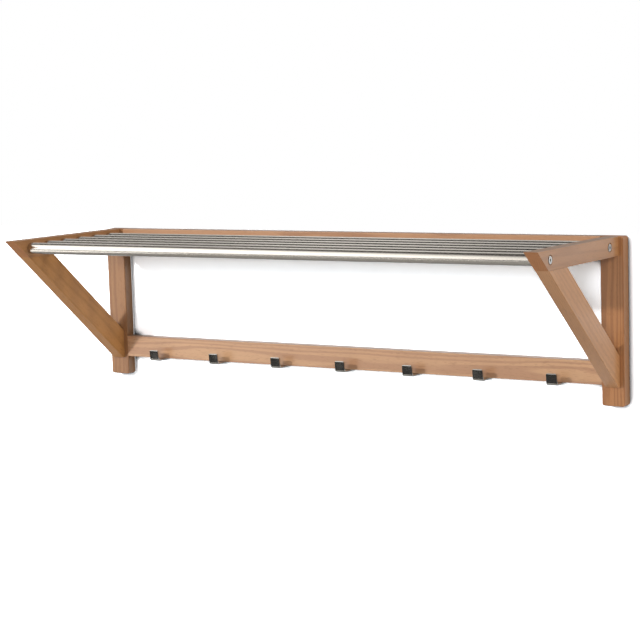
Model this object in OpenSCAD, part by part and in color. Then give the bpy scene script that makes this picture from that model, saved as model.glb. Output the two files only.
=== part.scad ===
// Wall coat rack: two stiles and two rails of solid wood make a frame that lies
// flat on the wall. An arm and a brace stand out from each stile as a triangle,
// six steel tubes between the arms make the hat shelf, and seven bent strip
// hooks are screwed under the lower rail.
// Millimetres. +X runs along the rails, +Y points into the wall, +Z is up.
// The origin is the centre of the top rail's back face, on the wall.

/* [Overall size] */
// Width across the outer faces of the two stiles
rack_w = 1000; // [900:10:1300]
// Height of the stiles
rack_h = 262.5; // [230:0.5:340]
// Depth from the wall to the pointed tips of the arms
rack_d = 300; // [260:5:360]

/* [Stiles and rails] */
// Width of a stile, seen from the front
stile_w = 38; // [36:1:50]
// Thickness of the stiles and rails, which are flush in front and behind
board_t = 20; // [18:1:26]
// Height of the top rail
top_rail_h = 37; // [30:1:60]
// Height of the lower rail
lower_rail_h = 37; // [30:1:60]
// Height of the lower rail's underside above the feet of the stiles
lower_rail_rise = 32.5; // [20:0.5:60]
// Radius of the eased long edges of the stiles and rails
edge_r = 1.2; // [0.5:0.1:2]
// Radius of a stile's free corners, seen from the front
stile_corner_r = 5; // [2:0.5:8]
// Radius of the front and back edges of a stile's foot
stile_foot_r = 2; // [1:0.5:4]

/* [Arms and braces] */
// Thickness of the arms and braces
arm_t = 22; // [20:1:28]
// Radius of the eased long edges of the arms and braces
arm_edge_r = 0.8; // [0.4:0.1:1.5]
// Height of an arm
arm_h = 30; // [28:1:40]
// Width of a brace, square to its length
brace_w = 41; // [34:1:50]
// Height of a brace's foot above the foot of its stile
foot_rise = 30.5; // [15:0.5:45]
// Length of the level cut under a brace's foot
foot_flat = 4.5; // [2:0.5:8]

/* [Shelf tubes] */
// Outer diameter of a tube
tube_d = 19; // [16:0.5:22]
// Wall of a tube
tube_wall = 1.2; // [1:0.1:2]
// Depth of the tube axes below the top of the arms
tube_drop = 14.5; // [12:0.5:17]
// Distance of the front tube's axis behind the tips of the arms
front_tube_in = 41; // [37:0.5:50]
// Distance of the rear tube's axis in front of the stiles
rear_tube_out = 31.5; // [31:0.5:60]
// Depth of the blind seats in the arms that hold the tube ends
seat_depth = 10; // [6:0.5:14]
// Clearance all round a tube in its seat
seat_gap = 0.1; // [0.05:0.05:0.3]
// Clearance between a tube's end and the bottom of its seat
tube_end_gap = 0.3; // [0.1:0.1:0.8]

/* [Bolts and plugs] */
// Shank diameter of the bolts that clamp the arms to the front and rear tubes
bolt_d = 6; // [5:0.5:8]
// Length of a bolt under its head
bolt_len = 30; // [25:1:34]
// Diameter of a bolt's flat head
bolt_head_d = 12; // [10:0.5:14]
// Width of the bevel round the head
bolt_bevel = 0.4; // [0.2:0.1:1]
// Thickness of the head
bolt_head_t = 3; // [2:0.1:4]
// How far the head's face stands out of the arm
bolt_proud = 0.3; // [0:0.1:1]
// Clearance round the head in its well in the arm
well_gap = 1.5; // [0.5:0.1:2]
// Size of the hexagon socket across its flats
key_af = 4; // [3:0.5:5]
// Depth of the hexagon socket
key_depth = 3.2; // [2:0.1:5]
// Length of the threaded plug in each end of the front and rear tubes
plug_len = 25; // [20:1:40]
// Clearance round a plug in its tube, and round a bolt in its plug
plug_gap = 0.05; // [0.02:0.01:0.15]
// Clearance round a bolt in its arm
bolt_gap = 0.25; // [0.1:0.05:0.5]

/* [Dowels] */
// Diameter of every dowel
dowel_d = 8; // [6:1:10]
// Length of every dowel
dowel_len = 30; // [24:1:32]
// Depth of a dowel in the side or front of a stile
stile_bite = 12; // [10:1:13]
// Depth of the upper brace dowel in its brace
head_bite = 13; // [10:1:15]
// Distance between the two dowels at each end of a rail
rail_dowel_pitch = 18; // [14:1:20]
// Distance between the two dowels at the back end of an arm
arm_dowel_pitch = 14; // [12:1:16]
// Chamfer at both ends of a dowel
dowel_chamfer = 1; // [0.5:0.1:1.5]
// Clearance all round a dowel in its hole
dowel_gap = 0.1; // [0.05:0.05:0.2]
// Room for glue beyond each end of a dowel
glue_room = 1; // [0.3:0.1:1]

/* [Hooks] */
// Width of the hook strip
hook_w = 18.5; // [16:0.5:26]
// Thickness of the hook strip
hook_t = 2.5; // [2:0.1:3.5]
// Distance of the bend's outer face in front of the lower rail
hook_out = 21; // [16:1:40]
// Height of the hook, from the strip's underside to its top
hook_rise = 19.5; // [14:0.5:40]
// Outward lean of the upturned end, in degrees
hook_lean = 5; // [1:1:15]
// Inner radius of the bend
hook_bend_r = 2; // [1:0.5:5]
// How much thinner and narrower the strip is pressed in its bend
bend_thin = 0.06; // [0.04:0.01:0.2]
// Radius of the two top corners
hook_corner_r = 3; // [1:0.5:6]
// Radius of the rounded edges along its top
hook_top_r = 1.1; // [0.5:0.1:1.2]
// Radius of the strip's rounded long edges
hook_edge_r = 0.4; // [0.2:0.1:0.9]
// Distance of the strip's back end from the wall
hook_back = 2; // [1:0.5:4]
// Distance of the end hooks' centres from the stiles
hook_end_in = 75; // [45:1:110]

/* [Screws] */
// Shank diameter of the countersunk screws
screw_d = 3; // [2.5:0.1:3.5]
// Head diameter of the countersunk screws
screw_head_d = 6; // [5:0.1:6.5]
// Length of a hook screw
hook_screw_len = 16; // [12:1:20]
// Distance of the hook screws from the strip's side edges
hook_screw_in = 4.5; // [4:0.1:5]
// Length of a hanger screw
hanger_screw_len = 12; // [10:1:15]
// Distance of the hanger screws from the plate's ends
hanger_screw_in = 6; // [5:0.5:8]
// Clearance round the shank and head of a screw
screw_gap = 0.1; // [0.05:0.05:0.15]
// Width of the arms of the cross recess in a screw head
cross_w = 0.9; // [0.6:0.1:1.2]
// Depth of the cross recess
cross_depth = 0.9; // [0.5:0.1:1.2]

/* [Keyhole hangers] */
// Width of a hanger plate
hanger_w = 16; // [15:0.5:18]
// Height of a hanger plate
hanger_h = 50; // [46:1:60]
// Thickness of a hanger plate
hanger_t = 2; // [1.8:0.1:3]
// Depth of the plate's middle below the top of the stile
hanger_drop = 60; // [55:1:120]
// Depth of the plate below the back of the stile
hanger_sunk = 0.2; // [0.1:0.1:0.5]
// Diameter of the keyhole's round entry
keyhole_d = 10; // [9:0.5:11]
// Width of the keyhole's slot
keyhole_slot_w = 5; // [4:0.5:6]
// Drop of the rack from the entry to the end of the slot
keyhole_travel = 14; // [10:1:15]
// Depth of the room for the wall screw's head behind the plate
keyhole_room = 5; // [4:0.5:6]
// Clearance round the plate in its pocket, and round the wall screw's head
pocket_gap = 0.3; // [0.1:0.1:0.5]

/* [Hidden] */

$fn = 48;
SIDES = [-1, 1];
TUBES = 6;
HOOKS = 7;
wood = "#bd9272";
steel = "#c9c6bf";
hook_steel = "#8f9092";
zinc = "#d2d3d2";
beech_pin = "#d8bb92";

// Heights and half widths of the frame
top_z = top_rail_h / 2;
foot_z = top_z - rack_h;
rail_half = rack_w / 2 - stile_w;
stile_x = rack_w / 2 - stile_w / 2;
lower_rail_z = foot_z + lower_rail_rise + lower_rail_h / 2;
lower_rail_under = foot_z + lower_rail_rise;

// The arms and braces: both front ends lie on one sloping plane from the tip
arm_z = top_z - arm_h / 2;
arm_under = top_z - arm_h;
arm_in_x = stile_x - arm_t / 2;
arm_out_x = stile_x + arm_t / 2;
brace_foot_z = foot_z + foot_rise;
brace_drop = top_z - brace_foot_z;
brace_run = rack_d - board_t - foot_flat;
slope = atan2(brace_drop, brace_run);
brace_len = norm([brace_drop, brace_run]);
brace_heel_z = top_z - (rack_d - board_t) * tan(slope) + brace_w / cos(slope);

// The tubes: the first and last are set, the others share the space between
tube_z = top_z - tube_drop;
front_tube_y = front_tube_in - rack_d;
rear_tube_y = -board_t - rear_tube_out;
tube_pitch = (rear_tube_y - front_tube_y) / (TUBES - 1);
tube_half = arm_in_x + seat_depth - tube_end_gap;
head_sunk = bolt_head_t - bolt_proud;

// Dowel places
rail_y = -board_t / 2;
head_dowel_y = front_tube_y + tube_pitch / 2;
heel_dowel_z = (brace_foot_z + brace_heel_z) / 2;

// Hook places
hook_pitch = 2 * (rail_half - hook_end_in) / (HOOKS - 1);
bend_y = -board_t - hook_out + hook_t + hook_bend_r;
bend_z = lower_rail_under + hook_bend_r;
hook_screw_x = hook_w / 2 - hook_screw_in;

// Keyhole places, from the middle of the plate
hanger_z = top_z - hanger_drop;
hanger_screw_z = hanger_h / 2 - hanger_screw_in;

// A length that carries a cut clean through a face
over = 1;
// The overlap of two runs of one bent strip
weld = 0.3;

// Shared outlines and bars

// Rectangle with its corners eased to radius r
module eased_rect(w, h, r) {
    square([w - 2 * r, h], center = true);
    square([w, h - 2 * r], center = true);
    for (x = SIDES, y = SIDES)
        translate([x * (w / 2 - r), y * (h / 2 - r)]) circle(r);
}

// Upright slot outline with round ends
module long_hole(w, h) {
    square([w, h - w], center = true);
    for (y = SIDES)
        translate([0, y * (h - w) / 2]) circle(d = w);
}

// Bar of an arm or brace along +Y from y = 0, centred on X and Z
module side_bar(h, len) {
    rotate([-90, 0, 0]) linear_extrude(len) eased_rect(arm_t, h, arm_edge_r);
}

// What is taken off to round an end edge. The edge runs along Z, the end faces +Y
// and the piece lies either side of the edge.
module edge_cut(r, len) {
    linear_extrude(len, center = true)
        difference() {
            square(2 * r, center = true);
            for (s = SIDES)
                translate([s * r, -r]) circle(r);
        }
}

// Cylinder from z = -back to z = front
module pin(d, back, front) {
    translate([0, 0, -back]) cylinder(d = d, h = back + front);
}

// Places of the joints. Each turns its children so that +Z points from the
// piece with end grain into the piece that it is pegged to.

module at_rail_end(side, rail_z) {
    for (k = SIDES)
        translate([side * rail_half, rail_y, rail_z + k * rail_dowel_pitch / 2])
            rotate([0, side * 90, 0]) children();
}

module at_arm_end(side) {
    for (k = SIDES)
        translate([side * stile_x, -board_t, arm_z + k * arm_dowel_pitch / 2])
            rotate([-90, 0, 0]) children();
}

module at_brace_heel(side) {
    translate([side * stile_x, -board_t, heel_dowel_z]) rotate([-90, 0, 0]) children();
}

module at_brace_head(side) {
    translate([side * stile_x, head_dowel_y, arm_under]) children();
}

// Ends of the front and rear tubes, +Z pointing out through the arm
module at_bolt(side) {
    for (y = [front_tube_y, rear_tube_y])
        translate([side * arm_out_x, y, tube_z]) rotate([0, side * 90, 0]) children();
}

// Hanger plates, +Z pointing out of the wall side, local Y up
module at_hanger(side) {
    translate([side * stile_x, -hanger_sunk, hanger_z]) rotate([-90, 180, 0]) children();
}

// Screws of one hanger plate
module at_hanger_screws() {
    for (k = SIDES)
        translate([0, k * hanger_screw_z, 0]) children();
}

// Screws of one hook, +Z pointing down out of the strip
module at_hook_screws(k) {
    for (s = SIDES)
        translate([hook_x(k) + s * hook_screw_x, rail_y, lower_rail_under - hook_t])
            rotate([180, 0, 0]) children();
}

// X of hook k, counted from 1 at the left end
function hook_x(k) = (k - (HOOKS + 1) / 2) * hook_pitch;

// Y of tube k, counted from 1 at the front
function tube_y(k) = front_tube_y + (k - 1) * tube_pitch;

// Dowels and screws with the holes that they need

module dowel(bite) {
    back = dowel_len - bite;
    pin(dowel_d, back - dowel_chamfer, bite - dowel_chamfer);
    tip_d = dowel_d - 2 * dowel_chamfer;
    translate([0, 0, bite - dowel_chamfer])
        cylinder(d1 = dowel_d, d2 = tip_d, h = dowel_chamfer);
    translate([0, 0, -back])
        cylinder(d1 = tip_d, d2 = dowel_d, h = dowel_chamfer);
}

module dowel_hole(bite) {
    pin(dowel_d + 2 * dowel_gap, dowel_len - bite + glue_room, bite + glue_room);
}

// Countersunk screw, its head flush with z = 0 and its tip at z = -len
module screw(len) {
    sink = (screw_head_d - screw_d) / 2;
    tip = screw_d / 2;
    difference() {
        union() {
            translate([0, 0, -sink]) cylinder(d1 = screw_d, d2 = screw_head_d, h = sink);
            translate([0, 0, tip - len]) cylinder(d = screw_d, h = len - tip - sink);
            translate([0, 0, -len]) cylinder(d1 = screw_d / 4, d2 = screw_d, h = tip);
        }
        for (a = [0, 90])
            rotate(a) translate([0, 0, over / 2 - cross_depth / 2])
                cube([screw_head_d / 2, cross_w, cross_depth + over], center = true);
    }
}

// Hole for that screw: the countersink opens towards +Z
module screw_hole(len) {
    d = screw_d + 2 * screw_gap;
    head_d = screw_head_d + 2 * screw_gap;
    sink = (head_d - d) / 2;
    pin(d, len + screw_gap, over);
    translate([0, 0, -sink]) cylinder(d1 = d, d2 = head_d, h = sink);
    cylinder(d = head_d, h = over);
}

// The wall frame

// Stile: an upright board, pegged at its side to the rails and in front to the
// arm and brace, with a pocket in its back for the hanger plate
module stile(side) {
    color(wood) difference() {
        translate([side * stile_x, rail_y, foot_z])
            linear_extrude(rack_h) eased_rect(stile_w, board_t, edge_r);
        stile_rounding(side);
        at_rail_end(side, 0) dowel_hole(stile_bite);
        at_rail_end(side, lower_rail_z) dowel_hole(stile_bite);
        at_arm_end(side) dowel_hole(stile_bite);
        at_brace_heel(side) dowel_hole(stile_bite);
        at_hanger(side) hanger_pocket();
    }
}

// What rounds a stile's ends. Its top corner at the rail stays square, flush with
// the rail.
module stile_rounding(side) {
    translate([side * rack_w / 2, rail_y, top_z])
        rotate([90, 0, 0]) edge_cut(stile_corner_r, 2 * board_t);
    for (x = [rail_half, rack_w / 2])
        translate([side * x, rail_y, foot_z])
            rotate([-90, 0, 0]) edge_cut(stile_corner_r, 2 * board_t);
    for (y = [-board_t, 0])
        translate([side * stile_x, y, foot_z])
            rotate([-90, 0, 90]) edge_cut(stile_foot_r, 2 * stile_w);
}

// Rail between the stiles, pegged into both
module rail(rail_z, rail_h) {
    translate([-rail_half, rail_y, rail_z]) rotate([90, 0, 90])
        linear_extrude(2 * rail_half) eased_rect(board_t, rail_h, edge_r);
}

module top_rail() {
    color(wood) difference() {
        rail(0, top_rail_h);
        for (side = SIDES)
            at_rail_end(side, 0) dowel_hole(stile_bite);
    }
}

module lower_rail() {
    color(wood) difference() {
        rail(lower_rail_z, lower_rail_h);
        for (side = SIDES)
            at_rail_end(side, lower_rail_z) dowel_hole(stile_bite);
        for (k = [1:HOOKS])
            at_hook_screws(k) screw_hole(hook_screw_len);
    }
}

// The side triangles

// Everything below and behind the sloping front plane, from the arm's tip down
module on_slope(side) {
    translate([side * stile_x, -rack_d, top_z]) rotate([-slope, 0, 0]) children();
}

// Arm: a level bar with a mitred tip, blind seats for the tubes in its inner
// face, and through holes for the two bolts with wells for their heads
module arm(side) {
    reach = rack_d - board_t;
    color(wood) difference() {
        translate([side * stile_x, -rack_d, arm_z]) side_bar(arm_h, reach);
        on_slope(side) translate([0, arm_h, -arm_h])
            cube([arm_t + 2 * over, 4 * arm_h, 2 * arm_h], center = true);
        for (k = [1:TUBES])
            translate([side * arm_in_x, tube_y(k), tube_z]) rotate([0, side * 90, 0])
                pin(tube_d + 2 * seat_gap, over, seat_depth);
        at_bolt(side) pin(bolt_d + 2 * bolt_gap, arm_t, over);
        at_bolt(side) pin(bolt_head_d + 2 * well_gap, head_sunk, over);
        at_arm_end(side) dowel_hole(stile_bite);
        at_brace_head(side) dowel_hole(dowel_len - head_bite);
    }
}

// Brace: a sloping bar cut level under the arm and at its foot, and upright
// where it meets the stile
module brace(side) {
    color(wood) difference() {
        intersection() {
            on_slope(side) translate([0, 0, brace_w / 2])
                side_bar(brace_w, brace_len + brace_w);
            translate([side * stile_x - arm_t, -rack_d, brace_foot_z])
                cube([2 * arm_t, rack_d - board_t, arm_under - brace_foot_z]);
        }
        at_brace_head(side) dowel_hole(dowel_len - head_bite);
        at_brace_heel(side) dowel_hole(stile_bite);
    }
}

// The hat shelf

// Steel tube number k from the front, its ends in the seats of both arms
module shelf_tube(k) {
    color(steel) translate([-tube_half, tube_y(k), tube_z]) rotate([0, 90, 0])
        difference() {
            cylinder(d = tube_d, h = 2 * tube_half);
            translate([0, 0, -over])
                cylinder(d = tube_d - 2 * tube_wall, h = 2 * (tube_half + over));
        }
}

// Threaded plugs pressed into the ends of the front and rear tubes
module tube_plugs() {
    inset = arm_out_x - tube_half;
    color(zinc) for (side = SIDES)
        at_bolt(side) translate([0, 0, -inset - plug_len])
            difference() {
                cylinder(d = tube_d - 2 * tube_wall - 2 * plug_gap, h = plug_len);
                translate([0, 0, -over])
                    cylinder(d = bolt_d + 2 * plug_gap, h = plug_len + 2 * over);
            }
}

// Flat-headed bolts through the arms into those plugs, their heads on the floors
// of the wells
module arm_bolts() {
    color(zinc) for (side = SIDES)
        at_bolt(side) translate([0, 0, -head_sunk]) difference() {
            union() {
                pin(bolt_d, bolt_len, over);
                cylinder(d = bolt_head_d, h = bolt_head_t - bolt_bevel);
                translate([0, 0, bolt_head_t - bolt_bevel])
                    cylinder(d1 = bolt_head_d, d2 = bolt_head_d - 2 * bolt_bevel, h = bolt_bevel);
            }
            translate([0, 0, bolt_head_t - key_depth])
                cylinder(d = key_af / cos(30), h = key_depth + over, $fn = 6);
        }
}

// Pegs inside the joints

module rail_dowels() {
    color(beech_pin) for (side = SIDES, z = [0, lower_rail_z])
        at_rail_end(side, z) dowel(stile_bite);
}

module arm_dowels() {
    color(beech_pin) for (side = SIDES)
        at_arm_end(side) dowel(stile_bite);
}

module brace_dowels() {
    color(beech_pin) for (side = SIDES) {
        at_brace_heel(side) dowel(stile_bite);
        at_brace_head(side) dowel(dowel_len - head_bite);
    }
}

// The hooks

// Hook: a round-edged flat bar, screwed under the lower rail, bent up in front
// of it and leaning out a little
module hook(k) {
    foot_len = -hook_back - bend_y;
    mid_r = hook_bend_r + hook_t / 2;
    outer_r = hook_bend_r + hook_t;
    bend_t = hook_t - bend_thin;
    upright = (hook_rise - outer_r + hook_bend_r * sin(hook_lean)) / cos(hook_lean);
    color(hook_steel) difference() {
        translate([hook_x(k), bend_y, bend_z]) {
            translate([0, -weld, -mid_r]) rotate([-90, 0, 0])
                linear_extrude(foot_len + weld) eased_rect(hook_w, hook_t, hook_edge_r);
            rotate([0, 90, 0]) rotate_extrude(angle = hook_lean - 90)
                translate([mid_r, 0]) eased_rect(bend_t, hook_w - bend_thin, hook_edge_r - bend_thin / 2);
            rotate([hook_lean, 0, 0]) translate([0, -mid_r, -weld])
                difference() {
                    linear_extrude(upright + weld) eased_rect(hook_w, hook_t, hook_edge_r);
                    translate([0, 0, upright + weld]) hook_rounding();
                }
        }
        at_hook_screws(k) screw_hole(hook_screw_len);
    }
}

// What is ground off the top of a hook, from the middle of its top: both corners
// and both long edges
module hook_rounding() {
    for (s = SIDES) {
        translate([s * hook_w / 2, 0, 0])
            rotate([90, 0, 0]) edge_cut(hook_corner_r, 2 * hook_t);
        translate([0, s * hook_t / 2, 0])
            rotate([90, 0, 90]) edge_cut(hook_top_r, 2 * hook_w);
    }
}

module hook_screws() {
    color(zinc) for (k = [1:HOOKS])
        at_hook_screws(k) screw(hook_screw_len);
}

// The wall hangers

// Keyhole outline: the entry below, the slot running up from it
module keyhole() {
    translate([0, -keyhole_travel / 2]) circle(d = keyhole_d);
    translate([0, keyhole_travel / 2]) circle(d = keyhole_slot_w);
    square([keyhole_slot_w, keyhole_travel], center = true);
}

// Pocket in the back of a stile: the plate's seat and the room behind it
module hanger_pocket() {
    room_w = keyhole_d + 2 * pocket_gap;
    translate([0, 0, -hanger_t]) linear_extrude(hanger_t + over)
        long_hole(hanger_w + 2 * pocket_gap, hanger_h + 2 * pocket_gap);
    translate([0, 0, -hanger_t - keyhole_room]) linear_extrude(keyhole_room + over)
        long_hole(room_w, keyhole_travel + room_w);
    at_hanger_screws() screw_hole(hanger_screw_len);
}

// Steel plate, flush in its pocket, that hangs on a screw in the wall
module hanger(side) {
    color(zinc) at_hanger(side) difference() {
        translate([0, 0, -hanger_t]) linear_extrude(hanger_t) long_hole(hanger_w, hanger_h);
        translate([0, 0, -hanger_t - over]) linear_extrude(hanger_t + 2 * over) keyhole();
        at_hanger_screws() screw_hole(hanger_screw_len);
    }
}

module hanger_screws() {
    color(zinc) for (side = SIDES)
        at_hanger(side) at_hanger_screws() screw(hanger_screw_len);
}

stile(-1);  // left_stile
stile(1);  // right_stile
top_rail();
lower_rail();
arm(-1);  // left_arm
arm(1);  // right_arm
brace(-1);  // left_brace
brace(1);  // right_brace
shelf_tube(1);  // front_tube
shelf_tube(2);  // tube_2
shelf_tube(3);  // tube_3
shelf_tube(4);  // tube_4
shelf_tube(5);  // tube_5
shelf_tube(TUBES);  // rear_tube
tube_plugs();
arm_bolts();
rail_dowels();
arm_dowels();
brace_dowels();
hook(1);  // hook_1
hook(2);  // hook_2
hook(3);  // hook_3
hook(4);  // hook_4
hook(5);  // hook_5
hook(6);  // hook_6
hook(7);  // hook_7
hook_screws();
hanger(-1);  // left_hanger
hanger(1);  // right_hanger
hanger_screws();
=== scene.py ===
# A wall coat rack of oiled beech and stainless steel, dressed for its portrait.
# The sections follow the rack as it is put together: the wall frame, the side
# triangles, the pegs, the shelf tubes, the bolts, the hooks, the screws and the
# wall hangers. The wall, the lamps, the room and the camera come last.
# Metres. +X runs along the rails, +Y points into the wall, +Z is up.

import math

import bpy
from mathutils import Euler, Matrix, Vector


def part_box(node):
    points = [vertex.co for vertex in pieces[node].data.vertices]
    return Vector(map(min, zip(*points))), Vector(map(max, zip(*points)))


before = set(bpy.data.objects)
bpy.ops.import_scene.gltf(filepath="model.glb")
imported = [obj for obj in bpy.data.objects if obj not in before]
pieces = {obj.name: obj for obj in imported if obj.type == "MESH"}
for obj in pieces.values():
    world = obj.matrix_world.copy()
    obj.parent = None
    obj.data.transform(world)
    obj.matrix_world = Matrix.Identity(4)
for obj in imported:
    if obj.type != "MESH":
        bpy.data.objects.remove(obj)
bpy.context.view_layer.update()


# The wall frame: two stiles and two rails of solid beech, planed, eased along
# their long edges, dowelled flush with each other and wiped with a warm oil.

def paint(code):
    """An sRGB hex colour as the linear colour that a shader takes."""
    shares = [int(code[i:i + 2], 16) / 255 for i in (1, 3, 5)]
    linear = [s / 12.92 if s <= 0.04045 else ((s + 0.055) / 1.055) ** 2.4 for s in shares]
    return (*linear, 1.0)


def add(tree, kind, settings=None, inputs=None):
    """One shader node, with its settings and its inputs set or linked."""
    node = tree.nodes.new("ShaderNode" + kind)
    for name, value in (settings or {}).items():
        setattr(node, name, value)
    for name, value in (inputs or {}).items():
        if isinstance(value, bpy.types.NodeSocket):
            tree.links.new(value, node.inputs[name])
        else:
            node.inputs[name].default_value = value
    return node


def new_material(name):
    """A material with its node tree and its shader."""
    material = bpy.data.materials.new(name)
    material.use_nodes = True
    return material, material.node_tree, material.node_tree.nodes["Principled BSDF"]


def dress(node_name, material):
    """Gives a piece of the frame its material."""
    for slot in pieces[node_name].material_slots:
        slot.material = material


# Settings of a Map Range node that eases in and out, and of a Mix node that mixes or
# multiplies colours, with that node's sockets
EASED = {"interpolation_type": "SMOOTHSTEP"}
MIXED = {"data_type": "RGBA"}
TINTED = {"data_type": "RGBA", "blend_type": "MULTIPLY"}
MIX_A, MIX_B, MIX_OUT = 6, 7, 2

MM = 0.001

# Sizes of beech's grain. Fibres and flecks are 0.2 mm wide or less on the real
# wood, and are drawn as wide as they need to be to show at a few steps' distance.
ring_gap = 3.2 * MM
wave_length, wave_width = 260 * MM, 26 * MM
fibre_length, fibre_width = 60 * MM, 1.3 * MM
fleck_length, fleck_width = 9 * MM, 0.8 * MM

# Blender's ring texture has a ring every pi / 10 of its own units
RING_UNIT = math.pi / 10

# How far the slow changes of tone, the rings and the fibres darken the wood, and what
# comes off so that the palest places keep the pale tone
tone_share, ring_share, fibre_share = 0.9, 0.55, 0.5
tone_level, pale_level = -0.25, 0.25


def oiled_beech(name, turn, start, pale, dark, fleck, contrast, dullness=0.42, wax=1.0):
    """Oiled beech: a warm orange brown under a clear sheen, with soft flowing bands
    where the saw met the growth rings, fine fibres, short dark ray flecks and darker
    end grain that has drunk more oil. turn and start lay the grain along local X,
    with the pith on it. contrast is how strongly the rings show, dullness how rough
    the skin is, and wax how much of a polished coat lies on it."""
    wood, tree, shader = new_material(name)
    place = add(tree, "TexCoord")
    grain = add(tree, "Mapping", inputs={
        "Vector": place.outputs["Object"], "Rotation": turn, "Location": start})

    # Growth rings round the pith, which wander as they run along the board
    flow = add(tree, "Mapping", inputs={
        "Vector": grain.outputs["Vector"], "Scale": (wave_width / wave_length, 1, 1)})
    rings = add(tree, "TexWave", {"wave_type": "RINGS", "rings_direction": "X"}, {
        "Vector": flow.outputs["Vector"], "Scale": RING_UNIT / ring_gap,
        "Distortion": 9.0, "Detail": 1.5, "Detail Scale": ring_gap / wave_width / RING_UNIT,
        "Detail Roughness": 0.5})
    bands = add(tree, "MapRange", EASED, {
        "Value": rings.outputs["Fac"], "From Min": 0.35, "From Max": 1.0})

    # Slow changes of tone from one stretch of the board to the next
    tone = add(tree, "TexNoise", inputs={
        "Vector": flow.outputs["Vector"], "Scale": 1 / wave_width, "Detail": 2.0})

    # Fibres that follow the grain
    fibre_at = add(tree, "Mapping", inputs={
        "Vector": grain.outputs["Vector"],
        "Scale": (1 / fibre_length, 1 / fibre_width, 1 / fibre_width)})
    fibres = add(tree, "TexNoise", inputs={
        "Vector": fibre_at.outputs["Vector"], "Scale": 1.0, "Detail": 3.0, "Roughness": 0.6})

    # Ray flecks: short dark dashes, sparse
    fleck_at = add(tree, "Mapping", inputs={
        "Vector": grain.outputs["Vector"],
        "Scale": (1 / fleck_length, 1 / fleck_width, 1 / fleck_width)})
    dashes = add(tree, "TexNoise", inputs={
        "Vector": fleck_at.outputs["Vector"], "Scale": 1.0, "Detail": 0.0})
    flecks = add(tree, "MapRange", EASED, {
        "Value": dashes.outputs["Fac"], "From Min": 0.64, "From Max": 0.78,
        "To Max": 0.35})

    # How dark each point is, from 0 to 1
    with_tone = add(tree, "Math", {"operation": "MULTIPLY_ADD"}, {
        0: tone.outputs["Fac"], 1: tone_share, 2: tone_level})
    with_rings = add(tree, "Math", {"operation": "MULTIPLY_ADD"}, {
        0: bands.outputs["Result"], 1: ring_share * contrast, 2: with_tone.outputs["Value"]})
    with_fibres = add(tree, "Math", {"operation": "MULTIPLY_ADD", "use_clamp": True}, {
        0: fibres.outputs["Fac"], 1: fibre_share, 2: with_rings.outputs["Value"]})
    shift = add(tree, "Math", {"operation": "SUBTRACT", "use_clamp": True}, {
        0: with_fibres.outputs["Value"], 1: pale_level})
    body = add(tree, "Mix", MIXED, {
        "Factor": shift.outputs["Value"], MIX_A: paint(pale), MIX_B: paint(dark)})
    flecked = add(tree, "Mix", MIXED, {
        "Factor": flecks.outputs["Result"], MIX_A: body.outputs[MIX_OUT], MIX_B: paint(fleck)})

    # End grain: faces that look along the grain take half of a darker tint and hold
    # no wax
    end_share = 0.5
    facing = add(tree, "Mapping", {"vector_type": "VECTOR"}, {
        "Vector": place.outputs["Normal"], "Rotation": turn})
    split = add(tree, "SeparateXYZ", inputs={"Vector": facing.outputs["Vector"]})
    along = add(tree, "Math", {"operation": "ABSOLUTE"}, {0: split.outputs["X"]})
    cut_end = add(tree, "MapRange", EASED, {
        "Value": along.outputs["Value"], "From Min": 0.25, "From Max": 0.75,
        "To Max": end_share})
    finished = add(tree, "Mix", TINTED, {
        "Factor": cut_end.outputs["Result"], MIX_A: flecked.outputs[MIX_OUT],
        MIX_B: paint("#fad8b4")})
    tree.links.new(finished.outputs[MIX_OUT], shader.inputs["Base Color"])

    # An oil film under a coat of wax: satin, a little duller along the open fibres
    sheen = add(tree, "MapRange", inputs={
        "Value": fibres.outputs["Fac"], "To Min": dullness - 0.06, "To Max": dullness + 0.08})
    tree.links.new(sheen.outputs["Result"], shader.inputs["Roughness"])
    shader.inputs["IOR"].default_value = 1.5
    if wax:
        polish = add(tree, "Math", {"operation": "MULTIPLY_ADD"}, {
            0: cut_end.outputs["Result"], 1: -wax / end_share, 2: wax})
        tree.links.new(polish.outputs["Value"], shader.inputs["Coat Weight"])
        shader.inputs["Coat Roughness"].default_value = 0.28
    relief = add(tree, "Bump", inputs={
        "Height": fibres.outputs["Fac"], "Strength": 0.25, "Distance": 0.1 * MM})
    tree.links.new(relief.outputs["Normal"], shader.inputs["Normal"])
    return wood


def lay_grain(node_name, turn, pith, slide):
    """Start of the grain's frame: the tree's pith lies at an offset from the middle of
    the piece, and the pattern is slid along it, so that no two boards are alike."""
    low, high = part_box(node_name)
    middle = Euler(turn).to_matrix() @ ((low + high) / 2 + Vector(pith))
    return (slide - middle.x, -middle.y, -middle.z)


def cut_boards(boards, contrast):
    """Dresses each board in wood of its own, laid along its length."""
    for board, (turn, pith, slide, tones, wax) in boards.items():
        start = lay_grain(board, turn, pith, slide)
        dress(board, oiled_beech(
            "oiled_beech_" + board, turn, start, *tones, contrast, wax=wax))


# The boards' own tones: pale wood, dark bands and flecks
PALE_SAPWOOD = ("#c09671", "#a2775a", "#7e5537")
SAPWOOD = ("#b58865", "#986d4f", "#764d2f")
RED_HEARTWOOD = ("#b17c51", "#90613f", "#6e4626")
DARK_HEARTWOOD = ("#9e724b", "#835939", "#664227")

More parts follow.
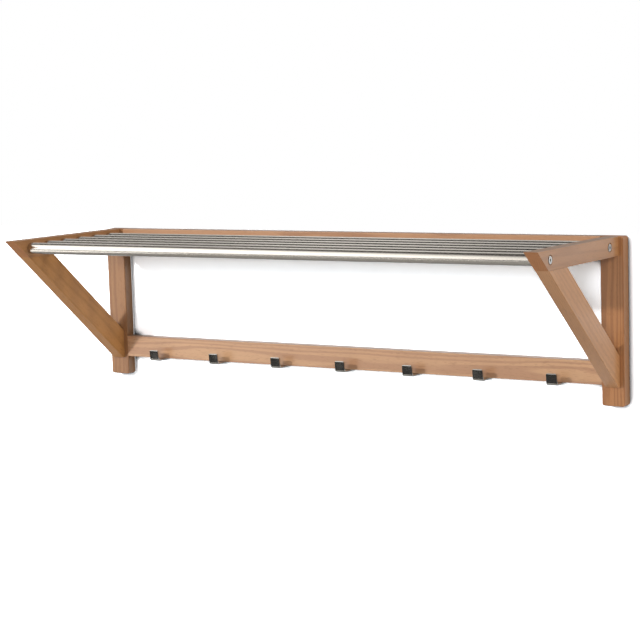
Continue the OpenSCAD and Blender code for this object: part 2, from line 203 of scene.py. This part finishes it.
# For each board: its grain, where the pith lay behind its face, its own place along
# the log, its tones and how well it took the wax
along_x = (0, 0, 0)
along_z = (0, math.radians(90), 0)
cut_boards({
    "left_stile": (along_z, (0.012, 0.040, 0), 0.31, DARK_HEARTWOOD, 0.6),
    "right_stile": (along_z, (-0.016, 0.030, 0), 1.73, RED_HEARTWOOD, 0.35),
    "top_rail": (along_x, (0, 0.034, 0.010), 2.90, SAPWOOD, 1.0),
    "lower_rail": (along_x, (0, 0.036, -0.009), 4.40, PALE_SAPWOOD, 1.0),
}, contrast=1.3)


# The side triangles: an arm and a brace each side, of the same beech, 22 mm thick,
# cut on one sloping plane in front and pegged to the stile. The mitred tip shows
# end grain.

HEARTWOOD = ("#b38053", "#956742", "#714828")
ORANGE_HEARTWOOD = ("#bb844f", "#9e6e3d", "#744a28")
PINK_HEARTWOOD = ("#c08b5b", "#a27149", "#754a29")

brace_slope = math.radians(40.1)
along_y = (0, 0, math.radians(-90))
down_brace = (brace_slope, 0, math.radians(-90))
cut_boards({
    "left_arm": (along_y, (-0.045, 0, 0.012), 6.10, HEARTWOOD, 0.2),
    "right_arm": (along_y, (-0.050, 0, 0.010), 7.40, HEARTWOOD, 1.0),
    "left_brace": (down_brace, (-0.060, 0, 0.014), 8.80, ORANGE_HEARTWOOD, 0.0),
    "right_brace": (down_brace, (-0.055, 0, -0.016), 9.60, PINK_HEARTWOOD, 0.85),
}, contrast=0.6)


# The pegs: fluted dowels of dry, unfinished beech, glued into the joints. They show
# only when the rack is taken apart.

DRY_WOOD = ("#dcc29c", "#c7a67c", "#9a764e")
off_pith = (0.2, 0.03, 0.04)
peg_grain = {"rail_dowels": along_x, "arm_dowels": along_y, "brace_dowels": along_z}
for pegs, turn in peg_grain.items():
    dress(pegs, oiled_beech(
        "dry_beech_" + pegs, turn, off_pith, *DRY_WOOD, contrast=0.4, dullness=0.6, wax=0.0))


# The hat shelf: six welded tubes of stainless steel, 19 mm across, ground with a
# fine belt to a satin skin, their ends let into the arms.

belt_length, belt_width = 180 * MM, 1.6 * MM


def satin_stainless(name):
    """Stainless steel ground lengthwise with a belt: its gloss is wide round the
    tube and sharp along it, with faint long streaks where the belt ran. The real
    scratches are far finer than the streaks here."""
    steel, tree, shader = new_material(name)
    place = add(tree, "TexCoord")
    streak_at = add(tree, "Mapping", inputs={
        "Vector": place.outputs["Object"],
        "Scale": (1 / belt_length, 1 / belt_width, 1 / belt_width)})
    streaks = add(tree, "TexNoise", inputs={
        "Vector": streak_at.outputs["Vector"], "Scale": 1.0, "Detail": 4.0, "Roughness": 0.6})
    skin = add(tree, "MapRange", inputs={
        "Value": streaks.outputs["Fac"], "From Min": 0.3, "From Max": 0.7,
        "To Min": 0.20, "To Max": 0.26})
    tree.links.new(skin.outputs["Result"], shader.inputs["Roughness"])
    around = add(tree, "Tangent", {"direction_type": "RADIAL", "axis": "X"})
    tree.links.new(around.outputs["Tangent"], shader.inputs["Tangent"])
    shader.inputs["Anisotropic"].default_value = 0.75
    colour = add(tree, "Mix", MIXED, {
        "Factor": streaks.outputs["Fac"], MIX_A: paint("#d8d4cd"), MIX_B: paint("#c6c2bb")})
    tree.links.new(colour.outputs[MIX_OUT], shader.inputs["Base Color"])
    shader.inputs["Metallic"].default_value = 1.0
    relief = add(tree, "Bump", inputs={
        "Height": streaks.outputs["Fac"], "Strength": 0.03, "Distance": 0.05 * MM})
    tree.links.new(relief.outputs["Normal"], shader.inputs["Normal"])
    return steel


tube_steel = satin_stainless("satin_stainless_steel")
for tube in ("front_tube", "tube_2", "tube_3", "tube_4", "tube_5", "rear_tube"):
    dress(tube, tube_steel)


# Plugs and bolts: turned steel plugs pressed into the ends of the first and last
# tube, and flat-headed socket bolts, nickel plated, that pull the arms onto them.

def bright_steel(name, colour, worn_colour, dull, bright, patch):
    """Plated or polished steel: a bright skin, cloudy where it has been handled, so
    its gloss changes in patches between dull and bright."""
    steel, tree, shader = new_material(name)
    place = add(tree, "TexCoord")
    clouds = add(tree, "TexNoise", inputs={
        "Vector": place.outputs["Object"], "Scale": 1 / patch, "Detail": 3.0})
    skin = add(tree, "MapRange", inputs={
        "Value": clouds.outputs["Fac"], "From Min": 0.3, "From Max": 0.7,
        "To Min": bright, "To Max": dull})
    tree.links.new(skin.outputs["Result"], shader.inputs["Roughness"])
    tint = add(tree, "Mix", MIXED, {
        "Factor": clouds.outputs["Fac"], MIX_A: paint(colour), MIX_B: paint(worn_colour)})
    tree.links.new(tint.outputs[MIX_OUT], shader.inputs["Base Color"])
    shader.inputs["Metallic"].default_value = 1.0
    return steel


bolt_nickel = bright_steel(
    "nickel_plated_steel", "#f0ede6", "#e2dfd8", dull=0.30, bright=0.20, patch=6 * MM)
zinc_plate = bright_steel(
    "zinc_plated_steel", "#cfd2d4", "#b9bdc0", dull=0.45, bright=0.30, patch=5 * MM)
dress("arm_bolts", bolt_nickel)
dress("tube_plugs", zinc_plate)


# The hooks: flat steel bar with rounded edges, bent cold, ground round at its free
# corners and polished bright.

hook_polish = bright_steel(
    "polished_hook_steel", "#d2d0cb", "#c2c0bc", dull=0.16, bright=0.08, patch=12 * MM)
for k in range(1, 8):
    dress(f"hook_{k}", hook_polish)


# The fixings that nobody sees: countersunk screws up into the rail and into the
# stiles, and keyhole plates of zinc-plated steel let into the stiles' backs.

for fixing in ("hook_screws", "left_hanger", "right_hanger", "hanger_screws"):
    dress(fixing, zinc_plate)


# The wall and the floor: a plain white wall that the rack hangs on, which ends
# level with the rack's top and carries a painted shade in its colour beside and
# below the stiles, and a pale floor well below it. Both show from their front only,
# so that the rack can be seen from behind and from below.

scene = bpy.context.scene
wall_half, wall_top = 1.7, 0.0185
floor_z, floor_front = -1.25, -2.1

# How much of the paint's boost the metal mirrors, the heights between which its low
# colour comes in, and how far out the painted shade by the stiles starts and is whole
mirrored_boost = 0.1
low_starts, low_whole = -0.20, -0.50
painted_shade_starts, painted_shade_whole = 0.435, 0.450


def one_sided(name, colour, low_colour, boost, painted_shade_reach):
    """Matt paint that keeps the rack's shadow and can be seen through from its back.
    boost is how much brighter it is to the camera, and in part in the metal, than
    the light that it throws back. low_colour is what shows in the metal and in the
    wax of its low part. The last argument is how far the painted shade reaches: an
    occlusion that darkens the colour beside and below the stiles, where they touch it."""
    coat, tree, shader = new_material(name)
    shader.inputs["Roughness"].default_value = 1.0
    shader.inputs["Specular IOR Level"].default_value = 0.0
    place = add(tree, "TexCoord")
    split = add(tree, "SeparateXYZ", inputs={"Vector": place.outputs["Object"]})
    path = add(tree, "LightPath")

    # The colour that lights the rack, the low one in the metal, and the boosted one
    low_down = add(tree, "MapRange", EASED, {
        "Value": split.outputs["Z"], "From Min": low_starts, "From Max": low_whole})
    mirrored_low = add(tree, "Math", {"operation": "MULTIPLY"}, {
        0: low_down.outputs["Result"], 1: path.outputs["Is Glossy Ray"]})
    thrown = add(tree, "Mix", MIXED, {
        "Factor": mirrored_low.outputs["Value"], MIX_A: paint(colour), MIX_B: paint(low_colour)})
    seen = add(tree, "Math", {"operation": "MULTIPLY_ADD", "use_clamp": True}, {
        0: path.outputs["Is Glossy Ray"], 1: mirrored_boost,
        2: path.outputs["Is Camera Ray"]})
    bright = tuple(boost * share for share in paint(colour)[:3]) + (1.0,)
    lit = add(tree, "Mix", MIXED, {
        "Factor": seen.outputs["Value"], MIX_A: thrown.outputs[MIX_OUT], MIX_B: bright})

    # Painted shade: the occlusion by the stiles darkens the paint's colour beside and below
    # them, where they touch the wall
    openness = add(tree, "AmbientOcclusion", {"samples": 12}, {"Distance": painted_shade_reach})
    corner = add(tree, "MapRange", EASED, {
        "Value": openness.outputs["AO"], "From Min": 0.4, "From Max": 0.95, "To Min": 0.04})
    from_middle = add(tree, "Math", {"operation": "ABSOLUTE"}, {0: split.outputs["X"]})
    painted_shade_mask = add(tree, "MapRange", EASED, {
        "Value": from_middle.outputs["Value"],
        "From Min": painted_shade_starts, "From Max": painted_shade_whole})
    with_painted_shade = add(tree, "Mix", TINTED, {
        "Factor": painted_shade_mask.outputs["Result"], MIX_A: lit.outputs[MIX_OUT],
        MIX_B: corner.outputs["Result"]})
    tree.links.new(with_painted_shade.outputs[MIX_OUT], shader.inputs["Base Color"])

    # Clear from behind
    side = add(tree, "NewGeometry")
    clear = add(tree, "BsdfTransparent")
    front_only = add(tree, "MixShader", inputs={
        0: side.outputs["Backfacing"], 1: shader.outputs["BSDF"], 2: clear.outputs["BSDF"]})
    tree.links.new(front_only.outputs["Shader"], tree.nodes["Material Output"].inputs["Surface"])
    return coat


def backdrop(name, corners, faces, material):
    """A flat stage piece from its corners, facing the way its faces turn."""
    mesh = bpy.data.meshes.new(name)
    mesh.from_pydata(corners, [], faces)
    mesh.materials.append(material)
    plane = bpy.data.objects.new(name, mesh)
    scene.collection.objects.link(plane)


# The wall is left open behind the stiles and rails, which cover it, so that light
# from behind reaches their backs. It runs in under their rounded edges.
edge_r = 1.2 * MM
left_low, left_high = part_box("left_stile")
right_low, right_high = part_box("right_stile")
rail_low, rail_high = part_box("lower_rail")
top_low, top_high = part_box("top_rail")
columns = [-wall_half, left_low.x + edge_r, left_high.x,
           right_low.x, right_high.x - edge_r, wall_half]
rows = [floor_z, left_low.z, rail_low.z + edge_r, rail_high.z - edge_r,
        top_low.z + edge_r, top_high.z - edge_r, wall_top]
corners = [(x, 0, z) for z in rows for x in columns]
faces = []
for r in range(len(rows) - 1):
    for c in range(len(columns) - 1):
        behind_stile = c in (1, 3) and 1 <= r <= 4
        behind_rail = c == 2 and r in (2, 4)
        if not (behind_stile or behind_rail):
            first = r * len(columns) + c
            above = first + len(columns)
            faces.append((first, first + 1, above + 1, above))
backdrop("wall", corners, faces, one_sided(
    "white_wall_paint", "#c4c8cc", "#3c3b3a", boost=3.5, painted_shade_reach=14 * MM))

floor_corners = [(-wall_half, floor_front, floor_z), (wall_half, floor_front, floor_z),
                 (wall_half, 0, floor_z), (-wall_half, 0, floor_z)]
backdrop("floor", floor_corners, [(0, 1, 2, 3)], one_sided(
    "pale_floor", "#b9b6b0", "#a3a09b", boost=1.0, painted_shade_reach=1 * MM))


# The lamps: a broad one in front, near the camera, whose shadows the rack hides, a
# small key at the left that shades the rail beside the hooks and the wall under the
# shelf, a soft ceiling light, a fill from the right and a reflector low in front.

# All look at the middle of the rack
aim = Vector((0.05, -0.10, -0.10))

# For each lamp: its azimuth and elevation in degrees, where azimuth 0 is straight in
# front and plus is to the right, its distance, width and height, and its watts
lamps = {
    "front_light": (22, 9, 4.0, 0.8, 0.6, 58),
    "key_light": (-31, 18, 3.2, 0.22, 0.12, 60),
    "ceiling_light": (0, 80, 2.4, 2.0, 1.6, 12),
    "right_fill": (91.5, 6, 3.8, 0.1, 1.8, 55),
    "low_reflector": (-18, -38, 2.4, 1.2, 0.8, 23),
}
for name, (azimuth, elevation, distance, width, height, watts) in lamps.items():
    az, el = math.radians(azimuth), math.radians(elevation)
    way = Vector((math.sin(az) * math.cos(el), -math.cos(az) * math.cos(el), math.sin(el)))
    lamp = bpy.data.lights.new(name, "AREA")
    lamp.shape = "RECTANGLE"
    lamp.size, lamp.size_y = width, height
    lamp.energy = watts
    box = bpy.data.objects.new(name, lamp)
    box.location = aim + way * distance
    box.rotation_euler = way.to_track_quat("Z", "Y").to_euler()
    # The metal mirrors the room alone
    box.visible_glossy = False
    scene.collection.objects.link(box)


# The room: white to the camera, and plain grey as far as it lights the rack. What the
# metal and the wax mirror is a dim, slightly warm studio with a great round screen at
# the left and a pale back above the wall.

world = bpy.data.worlds.new("studio")
world.use_nodes = True
scene.world = world
tree = world.node_tree
sky = tree.nodes["Background"]
looking = add(tree, "TexCoord")
compass = add(tree, "SeparateXYZ", inputs={"Vector": looking.outputs["Generated"]})

# The screen fades towards the wall and ends above the floor, and a dark gap crosses it
# just below the rack's level
screen_way, screen_light, gap_z = (-0.966, -0.259, 0), 2.5, -0.29
to_screen = add(tree, "VectorMath", {"operation": "DOT_PRODUCT"}, {
    0: looking.outputs["Generated"], 1: screen_way})
screen = add(tree, "MapRange", EASED, {
    "Value": to_screen.outputs["Value"], "From Min": 0.50, "From Max": 0.76,
    "To Max": screen_light})
in_front = add(tree, "MapRange", EASED, {
    "Value": compass.outputs["Y"], "From Min": -0.45, "From Max": 0.0,
    "To Min": 1.0, "To Max": 0.0})
front_screen = add(tree, "Math", {"operation": "MULTIPLY"}, {
    0: screen.outputs["Result"], 1: in_front.outputs["Result"]})
from_gap = add(tree, "Math", {"operation": "ADD"}, {0: compass.outputs["Z"], 1: -gap_z})
gap_side = add(tree, "Math", {"operation": "ABSOLUTE"}, {0: from_gap.outputs["Value"]})
past_gap = add(tree, "MapRange", EASED, {
    "Value": gap_side.outputs["Value"], "From Min": 0.07, "From Max": 0.17})
split_screen = add(tree, "Math", {"operation": "MULTIPLY"}, {
    0: front_screen.outputs["Value"], 1: past_gap.outputs["Result"]})
above_floor = add(tree, "MapRange", EASED, {
    "Value": compass.outputs["Z"], "From Min": -0.85, "From Max": -0.55})
lit_screen = add(tree, "Math", {"operation": "MULTIPLY"}, {
    0: split_screen.outputs["Value"], 1: above_floor.outputs["Result"]})

# The back of the room, over the wall, with a brighter doorway
door_x, door_light, back_light = -0.52, 1.2, 0.8
from_door = add(tree, "Math", {"operation": "ADD"}, {0: compass.outputs["X"], 1: -door_x})
door_side = add(tree, "Math", {"operation": "ABSOLUTE"}, {0: from_door.outputs["Value"]})
door = add(tree, "MapRange", EASED, {
    "Value": door_side.outputs["Value"], "From Min": 0.03, "From Max": 0.07,
    "To Min": door_light, "To Max": back_light})
behind = add(tree, "MapRange", EASED, {
    "Value": compass.outputs["Y"], "From Min": 0.25, "From Max": 0.50})
over_wall = add(tree, "MapRange", EASED, {
    "Value": compass.outputs["Z"], "From Min": 0.16, "From Max": 0.36})
upper_back = add(tree, "Math", {"operation": "MULTIPLY"}, {
    0: behind.outputs["Result"], 1: over_wall.outputs["Result"]})
lit_back = add(tree, "Math", {"operation": "MULTIPLY"}, {
    0: door.outputs["Result"], 1: upper_back.outputs["Value"]})

# What the metal and the wax mirror, what lights the rack and what the camera sees
dim_light, warmth = 0.05, (1.0, 0.97, 0.935)
plain_grey, white = (0.28, 0.28, 0.28, 1), (1, 1, 1, 1)
both = add(tree, "Math", {"operation": "ADD"}, {
    0: lit_screen.outputs["Value"], 1: lit_back.outputs["Value"]})
room = add(tree, "Math", {"operation": "ADD"}, {0: both.outputs["Value"], 1: dim_light})
warm_room = add(tree, "VectorMath", {"operation": "SCALE"}, {
    0: warmth, "Scale": room.outputs["Value"]})
path = add(tree, "LightPath")
mirrored = add(tree, "Mix", MIXED, {
    "Factor": path.outputs["Is Glossy Ray"], MIX_A: plain_grey,
    MIX_B: warm_room.outputs["Vector"]})
shown = add(tree, "Mix", MIXED, {
    "Factor": path.outputs["Is Camera Ray"], MIX_A: mirrored.outputs[MIX_OUT],
    MIX_B: white})
tree.links.new(shown.outputs[MIX_OUT], sky.inputs["Color"])
sky.inputs["Strength"].default_value = 1.0
scene.view_settings.view_transform = "Standard"


# The camera: a long lens, to the right of the rack and a little above it, with the
# slight roll that the photograph has.

camera_at = Vector((1.63525, -2.65980, 0.24553))
yaw, pitch, roll = math.radians(32.544), math.radians(-6.841), math.radians(-1.766)
lens = bpy.data.cameras.new("portrait")
lens.sensor_width = 36
lens.lens = 105.48
camera = bpy.data.objects.new("portrait", lens)
camera.matrix_world = (
    Matrix.Translation(camera_at)
    @ Matrix.Rotation(yaw, 4, "Z")
    @ Matrix.Rotation(math.radians(90) + pitch, 4, "X")
    @ Matrix.Rotation(roll, 4, "Z"))
scene.collection.objects.link(camera)
scene.camera = camera
